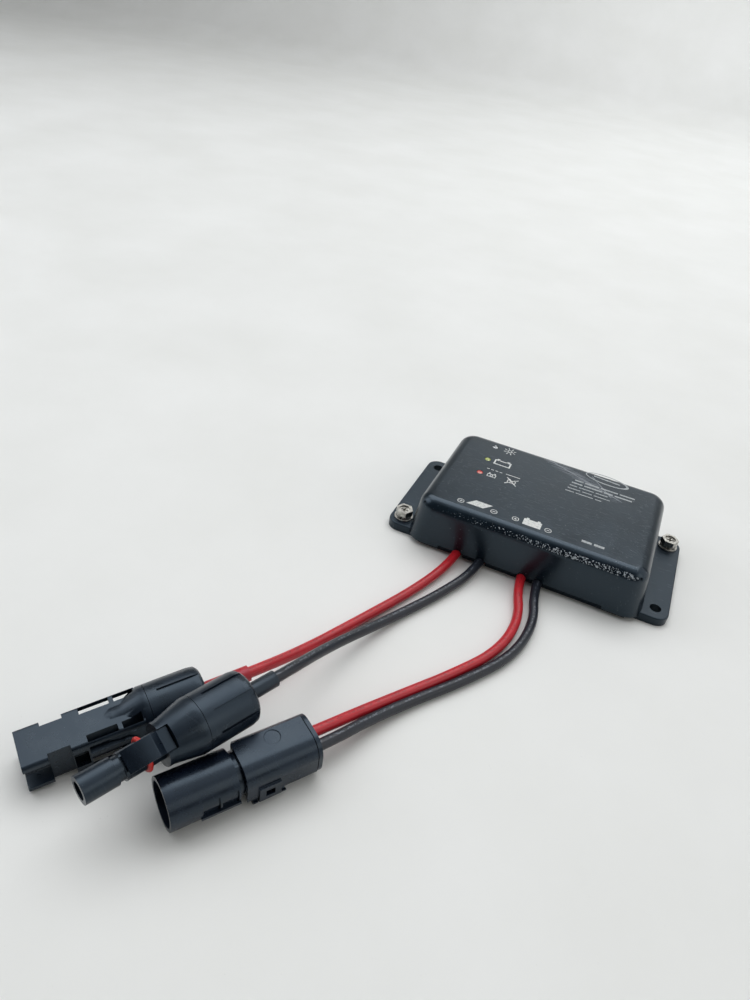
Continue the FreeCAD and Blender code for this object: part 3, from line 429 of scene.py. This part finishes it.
def eased(node):
    """A CAD node with every sharp edge broken, as a mould or a tumbler leaves it."""
    name = "fine_" + node
    data = frame["nodes"][node].data.copy()
    data.name = name
    shape = bmesh.new()
    shape.from_mesh(data)
    bmesh.ops.remove_doubles(shape, verts=shape.verts, dist=2e-6)
    bmesh.ops.dissolve_limit(shape, angle_limit=math.radians(1.0), verts=shape.verts, edges=shape.edges)
    shape.to_mesh(data)
    shape.free()
    data.shade_smooth()
    made = place_piece(data, name, BODY_OF[node], SLOT_OF[node])
    bevel = made.modifiers.new("eased_edges", "BEVEL")
    bevel.width = EDGE_BREAK * MM
    bevel.segments = 2
    bevel.limit_method = "ANGLE"
    bevel.angle_limit = math.radians(38.0)
    bevel.use_clamp_overlap = True
    # the widest face at a corner sets its shading, so broad flats stay flat
    flats = made.modifiers.new("flat_faces", "WEIGHTED_NORMAL")
    flats.weight = 100
    flats.keep_sharp = True
    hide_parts(node)
    return made


# ---------------------------------------------------------------- camera, floor and lights

def place_camera():
    """The camera stands in front and a little to the right, looks down and is slightly tilted."""
    stand = Vector((18.77, -302.59, 216.65)) * MM
    pitch, roll, yaw = (math.radians(value) for value in (35.53, 8.92, -18.49))
    forward = Vector((math.sin(yaw) * math.cos(pitch), math.cos(yaw) * math.cos(pitch), -math.sin(pitch)))
    right = Vector((math.cos(yaw), -math.sin(yaw), 0.0))
    up = right.cross(forward)
    right_tilted = right * math.cos(roll) + up * math.sin(roll)
    up_tilted = up * math.cos(roll) - right * math.sin(roll)
    data = bpy.data.cameras.new("camera")
    data.lens = 27.44
    data.sensor_width = 36.0
    data.clip_start = 0.01
    camera = bpy.data.objects.new("camera", data)
    facing = Matrix((right_tilted, up_tilted, -forward)).transposed().to_4x4()
    camera.matrix_world = Matrix.Translation(stand) @ facing
    bpy.context.scene.collection.objects.link(camera)
    bpy.context.scene.camera = camera


def place_floor():
    """A white table that ends in a low step far behind the object, and a pale wall beyond."""
    data = bpy.data.meshes.new("table_top")
    reach = 4.0
    back = 1.55
    turn = Matrix.Rotation(math.radians(12.0), 4, "Z")
    # how far back and how high each line of the table's profile is, in metres
    profile = [(-reach, 0.0), (back, 0.0), (back + 0.02, 0.004), (back + 0.10, 0.03), (back + 0.35, 0.35),
               (back + 0.45, 2.2)]
    spots = [turn @ Vector((side, y, z)) for y, z in profile for side in (-reach, reach)]
    faces = [(2 * row, 2 * row + 1, 2 * row + 3, 2 * row + 2) for row in range(len(profile) - 1)]
    data.from_pydata([tuple(spot) for spot in spots], [], faces)
    data.shade_smooth()
    data.materials.append(studio_floor())
    table = bpy.data.objects.new("table_top", data)
    bpy.context.scene.collection.objects.link(table)


def place_light(name, at, target, width, depth, power, colour):
    """A soft rectangular light that faces its target; places and sizes in metres, power in watts."""
    data = bpy.data.lights.new(name, "AREA")
    data.shape = "RECTANGLE"
    data.size = width
    data.size_y = depth
    data.energy = power
    data.color = linear(colour)[:3]
    made = bpy.data.objects.new(name, data)
    made.location = at
    made.rotation_euler = (Vector(target) - Vector(at)).to_track_quat("-Z", "Y").to_euler()
    bpy.context.scene.collection.objects.link(made)


def place_lights():
    """Soft daylight from above and behind, a window at the left, and a room that is dim in front."""
    place_light("soft_box_above", (-0.25, 0.55, 1.25), (0.0, -0.05, 0.0), 1.7, 1.0, 10.6, "#fbfcff")
    place_light("window_left", (-1.3, -0.35, 0.9), (-0.02, -0.08, 0.0), 0.9, 0.9, 4.2, "#f4f8ff")
    place_light("fill_right", (1.2, -0.5, 0.8), (0.0, -0.08, 0.0), 0.8, 0.8, 1.8, "#fffaf2")
    place_light("wall_wash", (0.2, 1.25, 1.3), (0.5, 2.2, 0.4), 1.2, 0.5, 11.0, "#f6f7fa")
    world = bpy.data.worlds.new("studio")
    world.use_nodes = True
    tree = world.node_tree
    around = add(tree, "ShaderNodeTexCoord").outputs["Generated"]
    heading = add(tree, "ShaderNodeSeparateXYZ", {"Vector": around})
    strength = add(tree, "ShaderNodeMapRange", {"Value": heading.outputs["Y"], "From Min": -0.45,
                                                "From Max": 0.0, "To Min": 0.07, "To Max": 0.98})
    shade = tree.nodes["Background"]
    shade.inputs["Color"].default_value = linear("#f3f4f6")
    tree.links.new(strength.outputs["Result"], shade.inputs["Strength"])
    bpy.context.scene.world = world
    bpy.context.scene.view_settings.view_transform = "Standard"


# ---------------------------------------------------------------- leads

def along_plug(place, along, across=0.0):
    """A point on a plug's axis, or beside it, in millimetres."""
    return tuple(place @ (Vector((along, across, 0.0)) * MM) / MM)


def lead(name, exit_x, middle, ends, node):
    """A lead: straight out of the cover, through its own points, into its plug.  Its points are in
    millimetres, and its length is in metres."""
    exit_height = 3.0
    route = [(exit_x, -27.0, exit_height), (exit_x, -41.5, exit_height)] + middle + ends
    data = bpy.data.curves.new(name, "CURVE")
    data.dimensions = "3D"
    data.bevel_depth = LEAD_RADIUS * MM
    data.bevel_resolution = 7
    data.resolution_u = 16
    data.use_fill_caps = True
    spline = data.splines.new("NURBS")
    spline.points.add(len(route) - 1)
    for point, spot in zip(spline.points, route):
        point.co = (spot[0] * MM, spot[1] * MM, spot[2] * MM, 1.0)
    spline.order_u = 3
    spline.use_endpoint_u = True
    made = place_piece(data, name, "controller", SLOT_OF[node])
    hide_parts(node)


def make_leads(pieces):
    """The four leads, by the places that each lies through; the two battery leads end side by side."""
    half = 2.8
    lead("red_solar_lead", -28.2, [(-36.0, -66.0, 2.05), (-48.5, -94.0, 2.05), (-60.6, -122.5, 3.4)],
         [along_plug(PIN_COUPLER, -31.5), along_plug(PIN_COUPLER, -3.5)],
         "solar_lead_red")
    lead("black_solar_lead", -17.2, [(-26.0, -63.5, 2.05), (-40.0, -90.5, 2.05), (-50.8, -121.0, 9.8)],
         [along_plug(SOCKET_COUPLER, -31.5), along_plug(SOCKET_COUPLER, -3.5)],
         "solar_lead_black")
    lead("red_battery_lead", 1.5, [(8.0, -61.0, 2.05), (5.0, -83.0, 2.05), (-7.3, -103.5, 2.05),
                                   (-20.5, -122.0, 2.05), (-30.4, -138.5, 4.2)],
         [along_plug(BATTERY_PLUG, -53.5, -half), along_plug(BATTERY_PLUG, -38.0, -half)],
         "battery_lead_red")
    lead("black_battery_lead", 8.9, [(14.0, -60.0, 2.05), (11.0, -82.0, 2.05), (-1.6, -103.0, 2.05),
                                     (-15.3, -121.5, 2.05), (-25.4, -138.5, 4.0)],
         [along_plug(BATTERY_PLUG, -53.5, half), along_plug(BATTERY_PLUG, -38.0, half)],
         "battery_lead_black")


# ---------------------------------------------------------------- pieces that follow a rule

def rule_tree(name, inputs):
    """A geometry tree with named inputs: the tree and its input node."""
    tree = bpy.data.node_groups.new(name, "GeometryNodeTree")
    for label, kind in inputs:
        tree.interface.new_socket(label, in_out="INPUT", socket_type=kind)
    tree.interface.new_socket("Geometry", in_out="OUTPUT", socket_type="NodeSocketGeometry")
    return tree, add(tree, "NodeGroupInput")


def close_tree(tree, geometry, material):
    """End a tree in plain geometry with its finish."""
    real = add(tree, "GeometryNodeRealizeInstances", {"Geometry": geometry})
    dressed = add(tree, "GeometryNodeSetMaterial", {"Geometry": real.outputs[0], "Material": material})
    add(tree, "NodeGroupOutput", {0: dressed.outputs[0]})


def grown_mesh(name, tree, values):
    """What a tree makes with these inputs, as a plain mesh."""
    seed = bpy.data.objects.new(name + "_seed", bpy.data.meshes.new(name + "_seed"))
    bpy.context.scene.collection.objects.link(seed)
    modifier = seed.modifiers.new("rule", "NODES")
    modifier.node_group = tree
    for item in tree.interface.items_tree:
        if item.in_out == "INPUT":
            modifier[item.identifier] = values[item.name]
    depsgraph = bpy.context.evaluated_depsgraph_get()
    data = bpy.data.meshes.new_from_object(seed.evaluated_get(depsgraph))
    seed.modifiers.remove(modifier)
    bpy.data.objects.remove(seed)
    data.name = name
    return data


def thread_tree(material):
    """A screw thread's crest: a round bead wound up a helix about Z."""
    tree, given = rule_tree("thread_crest", (("Turns", "NodeSocketFloat"), ("Radius", "NodeSocketFloat"),
                                             ("Length", "NodeSocketFloat"), ("Bead", "NodeSocketFloat")))
    sizes = given.outputs
    helix = add(tree, "GeometryNodeCurveSpiral", {"Resolution": 40, "Rotations": sizes["Turns"],
                                                  "Start Radius": sizes["Radius"],
                                                  "End Radius": sizes["Radius"], "Height": sizes["Length"]})
    section = add(tree, "GeometryNodeCurvePrimitiveCircle", {"Resolution": 8, "Radius": sizes["Bead"]})
    bead = add(tree, "GeometryNodeCurveToMesh", {"Curve": helix.outputs[0], "Fill Caps": True,
                                                 "Profile Curve": section.outputs[0]})
    close_tree(tree, bead.outputs[0], material)
    return tree


def ray_tree(material):
    """Short bars set round a ring, each pointing outwards."""
    tree, given = rule_tree("ring_of_bars", (("Count", "NodeSocketInt"), ("Radius", "NodeSocketFloat"),
                                             ("Size", "NodeSocketVector")))
    sizes = given.outputs
    ring = add(tree, "GeometryNodeMeshCircle", {"Vertices": sizes["Count"], "Radius": sizes["Radius"]})
    spot = add(tree, "GeometryNodeInputPosition")
    outward = add(tree, "FunctionNodeAlignEulerToVector", {"Vector": spot.outputs[0]}, axis="X")
    stroke = add(tree, "GeometryNodeMeshCube", {"Size": sizes["Size"]})
    rays = add(tree, "GeometryNodeInstanceOnPoints", {"Points": ring.outputs[0],
                                                      "Instance": stroke.outputs[0],
                                                      "Rotation": outward.outputs[0]})
    close_tree(tree, rays.outputs[0], material)
    return tree


def make_threads():
    """The thread of each coupler's spigot, seen when its nut is backed off."""
    turns, pitch, crest, bead, start = 4.2, 1.5, 6.98, 0.3, -7.3
    tree = thread_tree(FINISHES["coupler_plastic"])
    # the helix climbs Z, and the spigot lies along the coupler's X
    lie = Matrix.Translation(Vector((start, 0.0, 0.0)) * MM) @ Matrix.Rotation(math.radians(90.0), 4, "Y")
    for name, place in (("pin", PIN_COUPLER), ("socket", SOCKET_COUPLER)):
        data = grown_mesh(name + "_spigot_thread", tree, {
            "Turns": turns, "Radius": (crest - bead) * MM, "Length": turns * pitch * MM, "Bead": bead * MM})
        data.transform(place @ lie)
        data.shade_smooth()
        place_piece(data, name + "_spigot_thread", "controller", "coupler_plastic")


# ---------------------------------------------------------------- print on the cover

INK_FOOT = COVER_TOP + 0.004
INK_TOP = COVER_TOP + 0.03


def printed(shape, outline, lift=0.0):
    """An outline filled with ink."""
    under, over = [[shape.verts.new(Vector((x, y, level + lift)) * MM) for x, y in outline]
                   for level in (INK_FOOT, INK_TOP)]
    count = len(outline)
    shape.faces.new(over)
    shape.faces.new(list(reversed(under)))
    for index in range(count):
        after = (index + 1) % count
        shape.faces.new((under[index], under[after], over[after], over[index]))


def printed_ring(shape, outer, inner):
    """The ink between two outlines with the same number of corners."""
    low_out, low_in, high_out, high_in = [[shape.verts.new(Vector((x, y, level)) * MM) for x, y in line]
                                          for level in (INK_FOOT, INK_TOP) for line in (outer, inner)]
    count = len(outer)
    for index in range(count):
        after = (index + 1) % count
        shape.faces.new((high_out[index], high_out[after], high_in[after], high_in[index]))
        shape.faces.new((low_out[after], low_out[index], low_in[index], low_in[after]))
        shape.faces.new((low_out[index], low_out[after], high_out[after], high_out[index]))
        shape.faces.new((low_in[after], low_in[index], high_in[index], high_in[after]))


def bar(x0, y0, x1, y1, width):
    """The outline of a straight stroke between two points."""
    run = Vector((x1 - x0, y1 - y0)).normalized() * (width / 2)
    side = Vector((-run.y, run.x))
    return [(x0 - side.x, y0 - side.y), (x1 - side.x, y1 - side.y),
            (x1 + side.x, y1 + side.y), (x0 + side.x, y0 + side.y)]


def oval(x, y, half_x, half_y, turn=0.0, steps=40):
    """The outline of an ellipse."""
    spots = []
    for step in range(steps):
        angle = 2 * math.pi * step / steps
        spot = Vector((half_x * math.cos(angle), half_y * math.sin(angle)))
        spot.rotate(Matrix.Rotation(math.radians(turn), 2))
        spots.append((x + spot.x, y + spot.y))
    return spots


def cell_outline(x, y, width, height, inset=0.0):
    """A battery seen from the side: a box with two short posts on its top edge."""
    half, top = width / 2 - inset, height / 2 - inset
    post, lift = width * 0.16, 0.9
    near, far = half * 0.62 - post / 2, half * 0.62 + post / 2 - inset
    right = [(half, -top), (half, top), (far, top), (far, top + lift), (near, top + lift), (near, top)]
    left = [(-across, up) for across, up in reversed(right)]
    return [(x + across, y + up) for across, up in right + left]


def make_sun_rays(x, y):
    """The eight rays of the sun sign."""
    level = (INK_FOOT + INK_TOP) / 2
    data = grown_mesh("sun_rays", ray_tree(INK), {
        "Count": 8, "Radius": 2.45 * MM, "Size": (1.3 * MM, 0.42 * MM, (INK_TOP - INK_FOOT) * MM)})
    half_step = Matrix.Rotation(math.radians(22.5), 4, "Z")
    data.transform(Matrix.Translation(Vector((x, y, level)) * MM) @ half_step)
    place_piece(data, "sun_rays", "controller", "cover_plastic", INK)


def sun_sign(shape, x, y):
    """A small ring, whose rays are a piece of their own."""
    printed_ring(shape, oval(x, y, 1.25, 1.25), oval(x, y, 0.85, 0.85))
    make_sun_rays(x, y)


def pole_sign(shape, x, y, plus):
    """A ringed plus or minus."""
    arm, gap, stroke = 0.75, 0.2, 0.34
    printed_ring(shape, oval(x, y, 1.55, 1.55), oval(x, y, 1.25, 1.25))
    printed(shape, bar(x - arm, y, x + arm, y, stroke))
    if plus:
        printed(shape, bar(x, y - arm, x, y - gap, stroke))
        printed(shape, bar(x, y + gap, x, y + arm, stroke))


def panel_sign(shape, x, y):
    """A solar panel in perspective: one wide slanted sheet, parted by hairlines."""
    strips, pitch, hairline, lean, half = 7, 1.12, 0.1, 3.4, 2.1
    for strip in range(strips):
        left = x - (strips * pitch + lean) / 2 + strip * pitch
        right = left + pitch - hairline
        printed(shape, [(left, y - half), (right, y - half),
                        (right + lean, y + half), (left + lean, y + half)])


def lamp_key(shape):
    """The small signs beside the lamps: battery kinds, one of them crossed out."""
    sealed, crossed = (-27.6, 0.4), (-17.9, 0.6)
    printed_ring(shape, cell_outline(*sealed, 4.2, 2.6), cell_outline(*sealed, 4.2, 2.6, 0.35))
    printed_ring(shape, oval(*sealed, 0.85, 0.85), oval(*sealed, 0.5, 0.5))
    for dash in range(4):
        start = -31.3 + dash * 2.1
        printed(shape, bar(start, 5.6, start + 1.3, 5.6, 0.4))
    printed_ring(shape, cell_outline(*crossed, 4.0, 2.4), cell_outline(*crossed, 4.0, 2.4, 0.35))
    printed(shape, bar(-20.6, -1.9, -15.2, 3.5, 0.5))
    printed(shape, bar(-20.6, 3.5, -15.2, -1.9, 0.5), lift=0.004)
    printed(shape, bar(-22.0, 5.8, -15.0, 5.8, 0.4))


def rating_label(shape):
    """A double oval, plain bars in place of the rating plate's lines, and two more near the corner."""
    printed_ring(shape, oval(22.6, 29.2, 10.6, 4.0, -4.0, 64), oval(22.2, 29.2, 9.7, 3.3, -4.0, 64))
    printed(shape, bar(16.0, 29.8, 28.8, 28.9, 0.9))
    # each line's left end, its height of stroke, and the room that each of its words takes
    lines = ((8.5, 0.95, (5.0, 7.5, 9.0, 8.0)), (7.5, 0.95, (6.0, 9.5, 5.0, 9.0)),
             (7.0, 0.6, (4.5, 8.0, 6.5)), (6.5, 0.6, (7.0, 5.5, 8.5)), (6.0, 0.6, (5.0, 9.0, 4.0)))
    first, pitch, space = 20.6, 2.75, 0.9
    for row, (x, stroke, words) in enumerate(lines):
        y = first - row * pitch
        for room in words:
            printed(shape, bar(x, y, x + room - space, y, stroke))
            x += room
    for x in (20.6, 26.0):
        printed(shape, bar(x, -25.5, x + 4.4, -25.5, 1.5))


def make_print():
    """The signs on the cover's top in white ink, and the rubbed label at its right."""
    signs = bmesh.new()
    sun_sign(signs, -25.7, 26.8)
    printed_ring(signs, cell_outline(-25.9, 13.6, 8.2, 4.4), cell_outline(-25.9, 13.6, 8.2, 4.4, 0.7))
    lamp_key(signs)
    panel_sign(signs, -25.5, -25.2)
    printed(signs, cell_outline(-1.2, -25.9, 8.0, 4.6))
    for x, y, plus in ((-33.7, -27.1, True), (-18.4, -26.8, False),
                       (-8.6, -26.5, True), (6.1, -26.8, False)):
        pole_sign(signs, x, y, plus)
    place_piece(mesh_from(signs, "cover_print"), "cover_print", "controller", "cover_plastic", INK)
    label = bmesh.new()
    rating_label(label)
    place_piece(mesh_from(label, "rating_bars"), "rating_bars", "controller", "cover_plastic", RUBBED_INK)


# ---------------------------------------------------------------- the whole

PLUG_NODES = {
    "pin": ("pin_coupler_housing", "pin_contact", "pin_coupler_seal", "pin_coupler_sleeve",
            "pin_coupler_cage", "pin_coupler_nut"),
    "socket": ("socket_coupler_housing", "socket_contact", "socket_coupler_seal", "socket_coupler_sleeve",
               "socket_coupler_cage", "socket_coupler_nut", "socket_coupler_o_ring", "latch_arm_upper",
               "latch_arm_lower"),
    "battery": ("battery_plug_housing", "battery_plug_lock", "battery_face_seal", "battery_pin_red",
                "battery_pin_black", "wire_seal_red", "wire_seal_black"),
}
BOX_NODES = ("top_cover", "flanged_base", "flange_screws", "spring_washers", "flat_washers")


def main():
    """The studio, then the plugs on their leads, the box, its print and the threads."""
    place_camera()
    place_floor()
    place_lights()
    make_leads({plug: [eased(node) for node in nodes] for plug, nodes in PLUG_NODES.items()})
    for node in BOX_NODES:
        eased(node)
    # the nodes that stay as the CAD has them get their finish too
    for node, thing in frame["nodes"].items():
        thing.data.materials.clear()
        thing.data.materials.append(CLEAR_LAMP if node == "supply_lamp" else FINISHES[SLOT_OF[node]])
    make_print()
    make_threads()


main()
